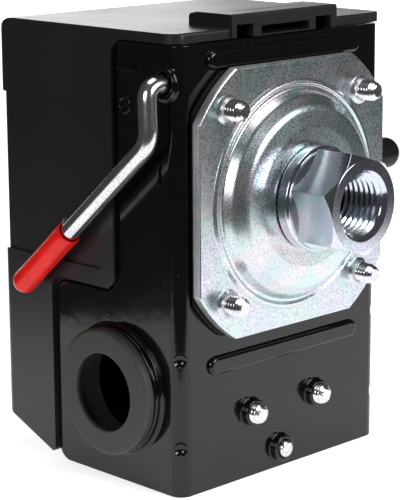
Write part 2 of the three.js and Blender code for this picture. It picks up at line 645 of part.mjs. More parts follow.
// One bent rod: a shaft through both walls, cranked inside to press the rocker plate, and an arm outside.
function leverRod() {
  const { left, right, slope, offset, droop } = CRANK;
  const down = THREE.MathUtils.degToRad(-droop);
  const onAxis = (x) => new THREE.Vector3(x, LEVER.y, LEVER.z);
  const toCrank = new THREE.Vector3(0, offset * Math.cos(down), offset * Math.sin(down));
  const onCrank = (x) => onAxis(x).add(toCrank);
  const rodEnd = inLeverPlane(LEVER_TIP).addScaledVector(leverDirection(), -SLEEVE.end - 1);
  const path = bentPath([
    onAxis(HOUSING.width), onAxis(right), onCrank(right - slope), onCrank(left + slope), onAxis(left),
    onAxis(LEVER.plane), inLeverPlane(LEVER_BEND), rodEnd,
  ], 3);
  return wire(path, LEVER.radius, 72, 8);
}

function leverSleeve() {
  const { length, outer, inner, end } = SLEEVE;
  const profile = [[0, length - end], [inner, length - end], [inner, 0], [outer, 0]];
  const steps = 4;
  for (let i = 0; i <= steps; i++) {
    const angle = (i / steps) * Math.PI / 2;
    profile.push([i === steps ? 0 : outer * Math.cos(angle), length - outer + outer * Math.sin(angle)]);
  }
  const start = inLeverPlane(LEVER_TIP).addScaledVector(leverDirection(), -length);
  const turn = new THREE.Quaternion().setFromUnitVectors(new THREE.Vector3(0, 1, 0), leverDirection());
  return solid(turned(profile, 16).applyQuaternion(turn).translate(start.x, start.y, start.z));
}

// ---- Unloader valve ------------------------------------------------------------------------------

function valveBody() {
  const { y, z, barrel, inner, end, flats } = VALVE;
  const face = HOUSING.width + GAP;
  const profile = [[0, inner], [barrel, inner], [barrel, face], [2.6, face + 3], [2.6, end], [0, end]];
  const collar = alongX(hexagon(y, z, flats, 30), [face, face + 2.8]);
  return cut(join(turnedX(y, z, profile), collar), barX(y, z, 1.2, [inner - 1, 66], 12));
}

// Push pin with a pointed tip that rides on the ramp of the rocker plate.
function valvePin() {
  const { y, z, pin, pinTip } = VALVE;
  return turnedX(y, z, [[0, pinTip], [0.3, pinTip], [pin, pinTip + 0.6], [pin, 64], [0, 64]], 12);
}

function valveNut() {
  const { y, z, hole, flats } = VALVE;
  const inside = HOUSING.width - HOUSING.sheet - GAP;
  const hexagonBar = alongX(hexagon(y, z, flats, 30), [inside - 2.8, inside]);
  return cut(hexagonBar, barX(y, z, hole, [inside - 4, inside + 1]));
}

function valveCap() {
  const { y, z, end, capEnd } = VALVE;
  const outer = 3.45;
  const dome = 3;
  const hollow = end + 0.4;
  const profile = [[0, hollow], [2.9, hollow], [2.9, 64], [outer, 64], [outer, capEnd - dome]];
  const steps = 4;
  for (let i = 1; i <= steps; i++) {
    const angle = (i / steps) * Math.PI / 2;
    profile.push([i === steps ? 0 : outer * Math.cos(angle), capEnd - dome + dome * Math.sin(angle)]);
  }
  return turnedX(y, z, profile, 24);
}

// ---- Assembly ------------------------------------------------------------------------------------

const housing = new THREE.Group();
housing.add(
  mesh("chassis", chassis(), PAINTED_STEEL),
  ...grommets(),
  mesh("cover", cover(), BLACK_PLASTIC),
  mesh("cover_screw", coverScrew(), ZINC),
  mesh("cover_post", coverPost(), BRASS),
  mesh("diaphragm", diaphragm(), RUBBER),
  mesh("diaphragm_flange", diaphragmFlange(), ZINC),
  mesh("port_hex", portHex(), ZINC),
  ...flangeScrews(),
  mesh("pressure_plate", pressurePlate(), ZINC),
  mesh("mechanism_bracket", mechanismBracket(), ZINC),
  mesh("rocker_plate", rockerPlate(), ZINC),
  mesh("pivot_pin", barX(PIVOT.y, PIVOT.z, PIVOT.radius, [4.5, HOUSING.width - 4.5], 12), ZINC),
  ...springGroup("range", RANGE),
  ...springGroup("differential", DIFFERENTIAL),
  mesh("terminal_block", terminalBlock(), BLOCK_PLASTIC),
  ...TERMINAL.xs.map(terminal),
  ...TERMINAL.xs.map(terminalScrew),
  ...BLOCK_SCREW.xs.map((x, i) =>
    mesh("block_screw_" + (i + 1), screw(x, BLOCK_SCREW.z, BLOCK_SCREW.tip, BLOCK.back + GAP), ZINC)),
  mesh("block_rivet", blockRivet(), ZINC),
  mesh("contact_carrier", contactCarrier(), BLOCK_PLASTIC),
  ...["left", "right"].flatMap((side, i) => [
    contactBridge(bridgeCentres[i], side),
    contactSpring(bridgeCentres[i], side),
  ]),
  mesh("lever_rod", leverRod(), ZINC),
  mesh("lever_sleeve", leverSleeve(), RED_PVC),
  mesh("valve_body", valveBody(), BRASS),
  mesh("valve_nut", valveNut(), BRASS),
  mesh("valve_pin", valvePin(), ZINC),
  mesh("valve_cap", valveCap(), BLACK_PLASTIC),
);

const bounds = new THREE.Box3().setFromObject(housing);
const centre = bounds.getCenter(new THREE.Vector3());
housing.position.set(-centre.x, -centre.y, -bounds.min.z);

const pressureSwitch = new THREE.Group();
pressureSwitch.add(housing);

export default pressureSwitch;
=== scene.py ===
import json
import math
import random

import bmesh
import bpy
from mathutils import Matrix, Vector


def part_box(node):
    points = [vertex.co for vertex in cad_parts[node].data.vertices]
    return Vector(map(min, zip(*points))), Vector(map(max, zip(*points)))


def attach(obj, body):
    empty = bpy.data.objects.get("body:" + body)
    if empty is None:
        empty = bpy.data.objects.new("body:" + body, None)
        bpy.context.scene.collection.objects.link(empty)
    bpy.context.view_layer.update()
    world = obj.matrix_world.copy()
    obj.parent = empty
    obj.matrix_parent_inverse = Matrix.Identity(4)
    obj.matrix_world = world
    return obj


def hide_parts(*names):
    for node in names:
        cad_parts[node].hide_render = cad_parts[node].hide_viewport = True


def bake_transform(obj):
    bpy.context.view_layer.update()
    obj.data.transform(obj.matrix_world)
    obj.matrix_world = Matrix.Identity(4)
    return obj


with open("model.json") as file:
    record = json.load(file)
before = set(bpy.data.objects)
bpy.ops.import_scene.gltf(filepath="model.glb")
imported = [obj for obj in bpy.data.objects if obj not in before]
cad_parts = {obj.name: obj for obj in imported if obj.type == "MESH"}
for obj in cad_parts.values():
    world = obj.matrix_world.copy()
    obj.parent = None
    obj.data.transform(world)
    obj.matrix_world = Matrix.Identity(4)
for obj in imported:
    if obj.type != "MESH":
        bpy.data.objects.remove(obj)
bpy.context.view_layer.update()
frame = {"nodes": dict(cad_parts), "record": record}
scene = bpy.context.scene
random.seed(7)

# ---- Driving dimensions, millimetres -------------------------------------------------------------

MM = 0.001
BOSS_RISE = 1.6
COLLAR_RISE = 1.7
corner_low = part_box("chassis")[0]
ORIGIN = Vector((corner_low.x + BOSS_RISE * MM, corner_low.y + COLLAR_RISE * MM, corner_low.z))

WIDTH, HEIGHT, SHEET, BEND = 60.5, 92.2, 1.4, 3.0
MID = WIDTH / 2
PORT_Z = 59.5
FLANGE_SCREWS = {"ul": (-1, 1), "ur": (1, 1), "ll": (-1, -1), "lr": (1, -1)}
SCREW_DX, SCREW_DZ = 19.85, 19.7
GROMMET_Y, GROMMET_Z = 18.9, 19.7
LEVER_Y, LEVER_Z, LEVER_X = 3.8, 84.6, -4.7
LEVER_BEND, LEVER_TIP = (3.2, 73.6), (44.3, 37.8)
COVER_TOP, COVER_BACK, COVER_RECESS, COVER_LOW_BACK = 94.5, 54.0, 52.4, 54.4
BLOCK_SCREWS = {"block_screw_1": 20.3, "block_screw_2": 39.9}
BLOCK_SCREW_Z = 14.3
VALVE_Y, VALVE_Z = 6.5, 62.0
SPRINGS = {
    "range": dict(x=19.0, z=45.0, stud=2.9, end=47.0, coil=6.2, wire=1.0, turns=6, cup=39.5, pitch=1.0),
    "differential": dict(x=41.5, z=45.0, stud=2.4, end=40.0, coil=4.4, wire=0.7, turns=6, cup=32.1, pitch=0.8),
}
ROCKER_BACK = 14.6
TERMINAL_XS = (13.5, 24.5, 36.0, 47.0)
TERMINAL_SCREW_Z = 22.4

# ---- Outlines ------------------------------------------------------------------------------------


def outline(corners, steps=6):
    """Points of a closed outline through (u, v) or (u, v, radius) corners, arcs at the rounded ones."""
    points = []
    for i, corner in enumerate(corners):
        here = Vector(corner[:2])
        if len(corner) < 3 or not corner[2]:
            points.append(here)
            continue
        before = (Vector(corners[i - 1][:2]) - here).normalized()
        after = (Vector(corners[(i + 1) % len(corners)][:2]) - here).normalized()
        half = before.angle(after) / 2
        centre = here + (before + after).normalized() * (corner[2] / math.sin(half))
        start = here + before * (corner[2] / math.tan(half)) - centre
        side = 1 if before.x * after.y - before.y * after.x < 0 else -1
        sweep = side * (math.pi - 2 * half)
        for k in range(steps + 1):
            turn = Matrix.Rotation(sweep * k / steps, 2)
            points.append(centre + turn @ start)
    return points


def rectangle(u, v, radius=0.0, steps=6):
    corners = [(u[0], v[0], radius), (u[1], v[0], radius), (u[1], v[1], radius), (u[0], v[1], radius)]
    return outline(corners, steps)


def hexagon(u, v, across_flats, first=30.0):
    radius = across_flats / math.sqrt(3)
    angles = [math.radians(first + 60 * i) for i in range(6)]
    return [Vector((u + radius * math.cos(a), v + radius * math.sin(a))) for a in angles]


# ---- Raw solids ----------------------------------------------------------------------------------


def raw(verts, faces):
    """A closed mesh object in millimetres, its faces turned outwards."""
    mesh = bpy.data.meshes.new("raw")
    mesh.from_pydata([tuple(v) for v in verts], [], faces)
    work = bmesh.new()
    work.from_mesh(mesh)
    bmesh.ops.recalc_face_normals(work, faces=work.faces[:])
    work.to_mesh(mesh)
    work.free()
    made = bpy.data.objects.new("raw", mesh)
    scene.collection.objects.link(made)
    return made


AXES = {
    "x": lambda u, v, w: (w, u, v),
    "y": lambda u, v, w: (u, w, v),
    "z": lambda u, v, w: (u, v, w),
}


def prism(points, axis, span):
    """An outline in (y, z), (x, z) or (x, y), drawn out along x, y or z."""
    count = len(points)
    verts = [AXES[axis](p[0], p[1], end) for end in span for p in points]
    sides = [(i, (i + 1) % count, count + (i + 1) % count, count + i) for i in range(count)]
    return raw(verts, [tuple(range(count)), tuple(range(count, 2 * count))] + sides)


def block(x, y, z):
    return prism(rectangle(x, y), "z", z)


def turned(profile, axis, centre, segments=64):
    """A profile of (radius, along) points turned about an axis; it starts and ends on it or closes."""
    rings, verts = [], []
    for radius, along in profile:
        count = 1 if radius < 1e-6 else segments
        ring = []
        for k in range(count):
            angle = 2 * math.pi * k / segments
            u, v = centre[0] + radius * math.cos(angle), centre[1] + radius * math.sin(angle)
            ring.append(len(verts))
            verts.append(AXES[axis](u, v, along))
        rings.append(ring)
    on_axis = len(rings[0]) == 1 and len(rings[-1]) == 1
    pairs = list(zip(rings, rings[1:])) + ([] if on_axis else [(rings[-1], rings[0])])
    faces = []
    for a, b in pairs:
        for k in range(segments):
            n = (k + 1) % segments
            corners = [a[k % len(a)], a[n % len(a)], b[n % len(b)], b[k % len(b)]]
            kept = list(dict.fromkeys(corners))
            if len(kept) > 2:
                faces.append(kept)
    return raw(verts, faces)


def rod(axis, centre, radius, span, segments=48):
    return turned([(0, span[0]), (radius, span[0]), (radius, span[1]), (0, span[1])], axis, centre, segments)


def round_profile(corners, steps=5):
    return [(p[0], p[1]) for p in outline(corners, steps)]


def sweep(path, radius, sides=24, ends="flat"):
    """A round bar along a list of points; radius is a number or a list, one for each point."""
    radii = radius if isinstance(radius, list) else [radius] * len(path)
    tangents = [(path[min(i + 1, len(path) - 1)] - path[max(i - 1, 0)]).normalized() for i in range(len(path))]
    normal = tangents[0].orthogonal().normalized()
    verts, faces = [], []
    for i, point in enumerate(path):
        if i:
            normal = tangents[i - 1].rotation_difference(tangents[i]) @ normal
        across = tangents[i].cross(normal)
        for k in range(sides):
            angle = 2 * math.pi * k / sides
            verts.append(point + (normal * math.cos(angle) + across * math.sin(angle)) * radii[i])
    for i in range(len(path) - 1):
        for k in range(sides):
            n = (k + 1) % sides
            faces.append((i * sides + k, i * sides + n, (i + 1) * sides + n, (i + 1) * sides + k))
    last = (len(path) - 1) * sides
    faces += [tuple(range(sides)), tuple(range(last, last + sides))]
    return raw(verts, faces)


def threaded_rod(axis, centre, radius, depth, pitch, span, taper=0.0, point=0.0, steps=16):
    """A rod with a right-hand thread whose crests follow face diagonals; it can narrow to a point."""
    length = abs(span[1] - span[0])
    rows = int(length / pitch * steps) + 1
    hand = 1 if (axis == "y") == (span[1] > span[0]) else -1
    verts = []
    for r in range(rows + 1):
        local = min(r / steps * pitch, length)
        along = span[0] + (span[1] - span[0]) * local / length
        for k in range(steps):
            phase = ((r + hand * k) % steps) / steps
            crest = 1 - abs(2 * phase - 1)
            reach = radius - taper * local / length - depth * (1 - crest)
            if point:
                reach -= 0.34 * radius * max(0.0, 1 - local / point)
            angle = 2 * math.pi * k / steps
            verts.append(AXES[axis](centre[0] + reach * math.cos(angle), centre[1] + reach * math.sin(angle), along))
    faces = [tuple(range(steps)), tuple(range(rows * steps, (rows + 1) * steps))]
    for r in range(rows):
        for k in range(steps):
            n = (k + 1) % steps
            a, b, c, d = r * steps + k, r * steps + n, (r + 1) * steps + n, (r + 1) * steps + k
            faces += [(a, b, d), (b, c, d)] if hand > 0 else [(a, b, c), (a, c, d)]
    return raw(verts, faces)


# ---- Joining, cutting and finishing --------------------------------------------------------------


def bake(target):
    """Applies the object's modifiers."""
    graph = bpy.context.evaluated_depsgraph_get()
    graph.update()
    mesh = bpy.data.meshes.new_from_object(target.evaluated_get(graph))
    target.modifiers.clear()
    target.data = mesh
    return target


def combine(base, others, operation):
    for other in others:
        step = base.modifiers.new("step", "BOOLEAN")
        step.operation = operation
        step.solver = "MANIFOLD"
        step.object = other
    bake(base)
    for other in others:
        bpy.data.objects.remove(other)
    return base


def join(base, *others):
    return combine(base, others, "UNION")


def cut(base, *others):
    return combine(base, others, "DIFFERENCE")


def common(base, *others):
    return combine(base, others, "INTERSECT")


def ease_edges(target, width, angle=35, segments=2):
    """Rounds every edge sharper than the angle."""
    work = bmesh.new()
    work.from_mesh(target.data)
    bmesh.ops.remove_doubles(work, verts=work.verts[:], dist=1e-4)
    flat = math.radians(0.5)
    bmesh.ops.dissolve_limit(work, angle_limit=flat, verts=work.verts[:], edges=work.edges[:])
    work.to_mesh(target.data)
    work.free()
    step = target.modifiers.new("ease", "BEVEL")
    step.width = width
    step.segments = segments
    step.limit_method = "ANGLE"
    step.angle_limit = math.radians(angle)
    step.use_clamp_overlap = True
    step.miter_outer = "MITER_ARC"
    return bake(target)


def piece(name, made, body, material, nodes=(), smooth=32):
    """Names a finished mesh, places it in metres, gives it its material, hides the CAD nodes it replaces and, if given,
    parents it to its body.
    """
    made.name = name
    made.data.name = name
    made.data.transform(Matrix.Translation(ORIGIN) @ Matrix.Scale(MM, 4))
    made.data.shade_smooth()
    made.data.set_sharp_from_angle(angle=math.radians(smooth))
    made.data.materials.clear()
    made.data.materials.append(material)
    level = made.modifiers.new("level", "WEIGHTED_NORMAL")
    level.keep_sharp = True
    if body:
        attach(made, body)
    if nodes:
        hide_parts(*nodes)
    return made


# ---- Materials -----------------------------------------------------------------------------------


class Shade:
    """A material under construction: short calls add and link its nodes."""

    def __init__(self, name, **sockets):
        self.material = bpy.data.materials.new(name)
        self.material.use_nodes = True
        self.tree = self.material.node_tree
        self.shader = self.tree.nodes["Principled BSDF"]
        for socket, value in sockets.items():
            self.shader.inputs[socket.replace("_", " ")].default_value = value
        self.place = self.node("ShaderNodeTexCoord").outputs["Object"]

    def node(self, kind, **settings):
        made = self.tree.nodes.new(kind)
        for key, value in settings.items():
            setattr(made, key, value)
        return made

    def link(self, output, target):
        self.tree.links.new(output, target)

    def noise(self, scale, detail=3.0, roughness=0.5, stretch=None, distortion=0.0):
        made = self.node("ShaderNodeTexNoise")
        made.inputs["Scale"].default_value = scale
        made.inputs["Detail"].default_value = detail
        made.inputs["Roughness"].default_value = roughness
        made.inputs["Distortion"].default_value = distortion
        self.link(self.stretched(stretch), made.inputs["Vector"])
        return made.outputs["Fac"]

    def stretched(self, stretch):
        if stretch is None:
            return self.place
        mapping = self.node("ShaderNodeMapping")
        mapping.inputs["Scale"].default_value = stretch[:3]
        if len(stretch) > 3:
            mapping.inputs["Rotation"].default_value = stretch[3:]
        self.link(self.place, mapping.inputs["Vector"])
        return mapping.outputs["Vector"]

    def cells(self, scale, stretch=None):
        made = self.node("ShaderNodeTexVoronoi")
        made.inputs["Scale"].default_value = scale
        self.link(self.stretched(stretch), made.inputs["Vector"])
        return made.outputs["Distance"], made.outputs["Color"]

    def span(self, value, low, high, out_low, out_high):
        made = self.node("ShaderNodeMapRange")
        for socket, number in zip(("From Min", "From Max", "To Min", "To Max"), (low, high, out_low, out_high)):
            made.inputs[socket].default_value = number
        self.link(value, made.inputs["Value"])
        return made.outputs["Result"]

    def math(self, operation, a, b):
        made = self.node("ShaderNodeMath", operation=operation)
        for socket, value in zip(made.inputs, (a, b)):
            if isinstance(value, (int, float)):
                socket.default_value = value
            else:
                self.link(value, socket)
        return made.outputs["Value"]

    def ramp(self, value, stops):
        made = self.node("ShaderNodeValToRGB")
        elements = made.color_ramp.elements
        while len(elements) < len(stops):
            elements.new(0.5)
        for element, (position, colour) in zip(elements, stops):
            element.position = position
            element.color = (*colour, 1)
        self.link(value, made.inputs["Fac"])
        return made.outputs["Color"]

    def mix(self, amount, a, b):
        made = self.node("ShaderNodeMix", data_type="RGBA")
        for socket, value in zip((made.inputs["Factor"], made.inputs[6], made.inputs[7]), (amount, a, b)):
            if isinstance(value, tuple):
                socket.default_value = (*value, 1)
            elif isinstance(value, (int, float)):
                socket.default_value = value
            else:
                self.link(value, socket)
        return made.outputs[2]

    def colour(self, output):
        self.link(output, self.shader.inputs["Base Color"])

    def roughness(self, output):
        self.link(output, self.shader.inputs["Roughness"])

    def bump(self, height, strength, distance):
        made = self.node("ShaderNodeBump")
        made.inputs["Strength"].default_value = strength
        made.inputs["Distance"].default_value = distance
        self.link(height, made.inputs["Height"])
        self.link(made.outputs["Normal"], self.shader.inputs["Normal"])


def scratches(shade, turn, scale=90.0):
    """Thin straight marks lying one way: one near the crest of a stretched noise, else nought."""
    lines = shade.noise(scale, 2, 0.5, stretch=(1, 0.04, 0.04, 0, turn, turn))
    return shade.span(lines, 0.70, 0.74, 0.0, 1.0)


def enamel():
    """Glossy black stove enamel with a slight orange peel, dust specks and a few rubs."""
    shade = Shade("black_enamel")
    shade.shader.inputs["Specular IOR Level"].default_value = 0.42
    cloud = shade.noise(60, 4, 0.6)
    specks, _ = shade.cells(900)
    dust = shade.span(specks, 0.05, 0.09, 1.0, 0.0)
    sparse = shade.span(shade.noise(140, 1), 0.60, 0.66, 0.0, 1.0)
    dusty = shade.math("MULTIPLY", dust, sparse)
    rubs = shade.math("MULTIPLY", scratches(shade, 0.5), shade.span(cloud, 0.5, 0.62, 0.0, 0.5))
    worn = shade.math("MAXIMUM", dusty, rubs)
    tone = shade.mix(cloud, (0.0020, 0.0020, 0.0022), (0.0045, 0.0045, 0.005))
    shade.colour(shade.mix(worn, tone, (0.12, 0.12, 0.12)))
    base = shade.span(cloud, 0.3, 0.7, 0.07, 0.15)
    shade.roughness(shade.math("ADD", base, shade.math("MULTIPLY", worn, 0.4)))
    peel = shade.noise(420, 2, 0.5)
    shade.bump(peel, 0.10, 0.0002)
    return shade.material


def cover_plastic():
    """Satin black moulded plastic: fine grain, soft flow clouds and short pale scratches."""
    shade = Shade("cover_plastic")
    shade.shader.inputs["Specular IOR Level"].default_value = 0.44
    cloud = shade.noise(35, 3, 0.5)
    grain = shade.noise(2600, 2, 0.6)
    one = scratches(shade, 0.9, 70)
    two = scratches(shade, -0.6, 110)
    few = shade.span(shade.noise(55, 2), 0.52, 0.60, 0.0, 0.7)
    marks = shade.math("MULTIPLY", shade.math("MAXIMUM", one, two), few)
    tone = shade.mix(cloud, (0.013, 0.013, 0.0145), (0.020, 0.020, 0.022))
    shade.colour(shade.mix(marks, tone, (0.13, 0.13, 0.14)))
    shade.roughness(shade.span(cloud, 0.3, 0.7, 0.28, 0.36))
    shade.bump(grain, 0.08, 0.00005)
    return shade.material


def block_phenolic():
    """Brown-black phenolic moulding with pale filler flecks."""
    shade = Shade("block_phenolic")
    flecks, _ = shade.cells(1500)
    fleck = shade.span(flecks, 0.08, 0.14, 0.8, 0.0)
    tone = shade.mix(shade.noise(120, 3), (0.030, 0.021, 0.016), (0.052, 0.038, 0.028))
    shade.colour(shade.mix(fleck, tone, (0.11, 0.085, 0.06)))
    shade.roughness(shade.span(shade.noise(200, 2), 0.3, 0.7, 0.38, 0.55))
    shade.bump(shade.noise(1600, 2), 0.15, 0.0001)
    return shade.material


def zinc(name, tint_a, tint_b, rough, grain, size=3200):
    """Bright zinc plate: grainy sparkle, cloudy faint rainbow, fine rubs."""
    shade = Shade(name, Metallic=1.0)
    cloud = shade.noise(42, 3, 0.6, distortion=0.6)
    rainbow = shade.ramp(cloud, [
        (0.32, tint_a), (0.42, (0.68, 0.67, 0.77)), (0.50, tint_b), (0.58, (0.76, 0.71, 0.75)), (0.68, tint_a),
    ])
    grains = shade.noise(size, 1, 0.5)
    dark = shade.span(grains, 0.30, 0.58, 0.50, 0.0)
    rub = shade.math("MULTIPLY", scratches(shade, 0.35, 120), 0.30)
    shade.colour(shade.mix(rub, shade.mix(dark, rainbow, (0.36, 0.40, 0.44)), (0.92, 0.92, 0.92)))
    base = shade.span(grains, 0.35, 0.65, rough[1], rough[0])
    shade.roughness(shade.math("ADD", base, shade.span(cloud, 0.35, 0.7, -0.03, 0.03)))
    shade.bump(grains, grain, 0.00003)
    return shade.material


def brass():
    shade = Shade("brass", Metallic=1.0)
    cloud = shade.noise(90, 3)
    shade.colour(shade.ramp(cloud, [(0.3, (0.70, 0.48, 0.20)), (0.55, (0.82, 0.62, 0.30)), (0.75, (0.60, 0.42, 0.20))]))
    shade.roughness(shade.span(cloud, 0.3, 0.7, 0.24, 0.40))
    shade.bump(shade.noise(900, 2, stretch=(1, 8, 1)), 0.1, 0.00008)
    return shade.material


def spring_steel():
    shade = Shade("spring_steel", Metallic=1.0)
    cloud = shade.noise(160, 3)
    shade.colour(shade.ramp(cloud, [(0.3, (0.30, 0.31, 0.33)), (0.7, (0.48, 0.49, 0.51))]))
    shade.roughness(shade.span(cloud, 0.3, 0.7, 0.24, 0.38))
    shade.bump(shade.noise(1500, 2), 0.12, 0.00006)
    return shade.material


def grommet_rubber():
    """Matt grey-green rubber with a dusty bloom."""
    shade = Shade("grommet_rubber")
    bloom = shade.noise(110, 4, 0.65)
    shade.colour(shade.ramp(bloom, [(0.3, (0.024, 0.026, 0.020)), (0.6, (0.034, 0.037, 0.030)), (0.8, (0.052, 0.055, 0.045))]))
    shade.roughness(shade.span(bloom, 0.3, 0.7, 0.50, 0.66))
    shade.bump(shade.noise(1300, 3, 0.7), 0.25, 0.0001)
    return shade.material


def sheet_rubber():
    shade = Shade("sheet_rubber")
    shade.colour(shade.mix(shade.noise(150, 3), (0.006, 0.006, 0.006), (0.014, 0.014, 0.014)))
    shade.roughness(shade.span(shade.noise(300, 2), 0.3, 0.7, 0.30, 0.45))
    shade.bump(shade.noise(1200, 2), 0.2, 0.0001)
    shade.shader.inputs["Specular IOR Level"].default_value = 0.15
    return shade.material


def red_pvc():
    """Glossy dipped red sleeve, slightly wavy, a little darker in random cloudy patches."""
    shade = Shade("red_pvc")
    shade.shader.inputs["Specular IOR Level"].default_value = 0.30
    shade.shader.inputs["Subsurface Weight"].default_value = 0.08
    shade.shader.inputs["Subsurface Radius"].default_value = (0.002, 0.0005, 0.0003)
    cloud = shade.noise(130, 3)
    shade.colour(shade.ramp(cloud, [(0.3, (0.70, 0.008, 0.006)), (0.6, (0.92, 0.012, 0.006)), (0.8, (0.80, 0.010, 0.008))]))
    shade.roughness(shade.span(cloud, 0.3, 0.7, 0.20, 0.34))
    shade.bump(shade.noise(260, 2), 0.25, 0.0003)
    return shade.material


ENAMEL = enamel()
COVER_PLASTIC = cover_plastic()
PHENOLIC = block_phenolic()
FLANGE_ZINC = zinc("flange_zinc", (0.58, 0.67, 0.72), (0.60, 0.74, 0.74), (0.22, 0.34), 0.30, 3400)
SHEARED_ZINC = zinc("sheared_zinc", (0.56, 0.57, 0.58), (0.62, 0.60, 0.56), (0.42, 0.60), 0.9, 2600)
HEX_ZINC = zinc("hex_zinc", (0.56, 0.67, 0.72), (0.60, 0.75, 0.76), (0.12, 0.20), 0.15, 3400)
ROD_ZINC = zinc("rod_zinc", (0.74, 0.76, 0.77), (0.78, 0.79, 0.78), (0.14, 0.22), 0.12, 2200)
INNER_ZINC = zinc("inner_zinc", (0.64, 0.68, 0.69), (0.72, 0.72, 0.64), (0.26, 0.38), 0.20, 2200)
BRASS = brass()
SPRING_STEEL = spring_steel()
GROMMET_RUBBER = grommet_rubber()
SHEET_RUBBER = sheet_rubber()
RED_PVC = red_pvc()

# ---- Housing -------------------------------------------------------------------------------------

WALL = [(-9, 0), (37.8, 0, 3.2), (37.8, 40, 3.2), (19.4, 40, 2.6), (19.4, HEIGHT, 3.2), (-9, HEIGHT)]


def screw_places():
    return {name: (MID + sx * SCREW_DX, PORT_Z + sz * SCREW_DZ) for name, (sx, sz) in FLANGE_SCREWS.items()}


def channel():
    """The folded sheet: front plate and two stepped side walls."""
    inner = BEND - SHEET
    plan = outline([
        (0, 0, BEND), (WIDTH, 0, BEND), (WIDTH, 37.8), (WIDTH - SHEET, 37.8), (WIDTH - SHEET, SHEET, inner),
        (SHEET, SHEET, inner), (SHEET, 37.8), (0, 37.8),
    ], 14)
    sides = prism(outline(WALL, 10), "x", (-1, WIDTH + 1))
    return ease_edges(common(prism(plan, "z", (0, HEIGHT)), sides), 0.3, 30, 3)


def pressed_rib(z, left=8.0, right=WIDTH - 8.0):
    """A long pressed bead with round ends and soft shoulders that stands 1 mm out of the front plate."""
    shoulder, steps = 0.85, 6
    levels = [(1.95, 0.4)]
    for k in range(steps + 1):
        angle = math.pi / 2 * k / steps
        levels.append((1.1 + shoulder * math.cos(angle), -0.15 - shoulder * math.sin(angle)))
    verts = []
    for half, rise in levels:
        ring = rectangle((left + 1.7 - half, right - 1.7 + half), (z - half, z + half), half * 0.98, 10)
        verts += [(point[0], rise, point[1]) for point in ring]
    count = len(verts) // len(levels)
    faces = [tuple(range(count)), tuple(range(len(verts) - count, len(verts)))]
    for low in range(0, len(verts) - count, count):
        for k in range(count):
            n = (k + 1) % count
            faces.append((low + k, low + n, low + count + n, low + count + k))
    return raw(verts, faces)


def collar(x, z):
    """The drawn lip round a tapped hole."""
    rise = COLLAR_RISE
    profile = round_profile([
        (0, 0.4), (3.5, 0.4), (3.3, 0), (2.95, -0.2, 0.2), (2.8, -rise, 0.35),
        (2.0, -rise, 0.2), (2.0, 0.4), (0, 0.4),
    ], 4)
    return turned(profile[:-1], "y", (x, z), 48)


def boss(outwards, face):
    """The pressed shoulder round a cable hole."""
    steps = round_profile([(10, 0.4), (14.5, 0.4), (14.2, -0.1, 0.3), (13.6, -0.4, 0.4), (13.4, -BOSS_RISE, 0.5), (10, -BOSS_RISE)])
    return turned([(r, face + outwards * a) for r, a in steps], "x", (GROMMET_Y, GROMMET_Z), 96)


def dent(x, z):
    """A pressed stiffening notch across a bend."""
    inwards = -1 if x else 1
    profile = [(1.9 * math.sin(math.pi * k / 20), -1.9 * math.cos(math.pi * k / 20)) for k in range(21)]
    made = turned(profile, "z", (0, 0), 32)
    made.data.transform(Matrix.Translation((x + inwards * 0.15, 0.15, z)))
    return made


def raised_bar(y, z, length, across=0.8):
    """A stamped I on the left wall."""
    shape = rectangle((y - across / 2, y + across / 2), (z - length / 2, z + length / 2), 0.3)
    return ease_edges(prism(shape, "x", (-0.4, 0.3)), 0.15, 30)


def raised_ring(y, z, radius=1.9, band=0.75):
    """A stamped O on the left wall."""
    profile = round_profile([(radius - band, 0.3), (radius, 0.3), (radius, -0.4, 0.3), (radius - band, -0.4, 0.3)], 4)
    return turned(profile, "x", (y, z), 48)


def louvre():
    """A short pressed tab above the stamped marks."""
    shape = outline([(11.9, 86.2, 0.5), (17.5, 86.2, 0.5), (17.5, 87.3, 0.4), (11.9, 87.3, 0.4)])
    return ease_edges(prism(shape, "x", (-0.6, 0.3)), 0.18, 30)


def housing_shell():
    rim = turned(round_profile([
        (2.2, 0.4), (3.9, 0.4), (3.7, 0, 0.2), (3.4, -0.2, 0.3), (3.2, -0.6, 0.3), (2.4, -0.6, 0.2)]), "x", (LEVER_Y, LEVER_Z), 48)
    body = join(
        channel(), pressed_rib(26.4), pressed_rib(88.7), rim, louvre(), boss(1, 0), boss(-1, WIDTH),
        raised_bar(5.6, 66.5, 4.6), raised_ring(15.3, 79.4),
        *[collar(x, BLOCK_SCREW_Z) for x in BLOCK_SCREWS.values()], collar(29.0, 4.5),
    )
    ways = [rod("y", place, 2.25, (-4, 4)) for place in screw_places().values()]
    ways += [rod("y", (x, BLOCK_SCREW_Z), 2.2, (-4, 4)) for x in BLOCK_SCREWS.values()]
    ways += [rod("y", (MID, PORT_Z), 12.2, (-4, 4), 72), rod("y", (29.0, 4.5), 2.0, (-4, 4))]
    ways += [rod("x", (GROMMET_Y, GROMMET_Z), 11.1, span, 96) for span in ((-4, 4), (WIDTH - 4, WIDTH + 4))]
    ways += [rod("x", (LEVER_Y, LEVER_Z), 2.35, (-4, WIDTH + 4)), rod("x", (VALVE_Y, VALVE_Z), 3.2, (WIDTH - 4, WIDTH + 4))]
    ways += [dent(x, z) for x in (0, WIDTH) for z in (10.4, 29.0)]
    return piece("housing_shell", cut(body, *ways), "housing", ENAMEL, ["chassis"], 40)


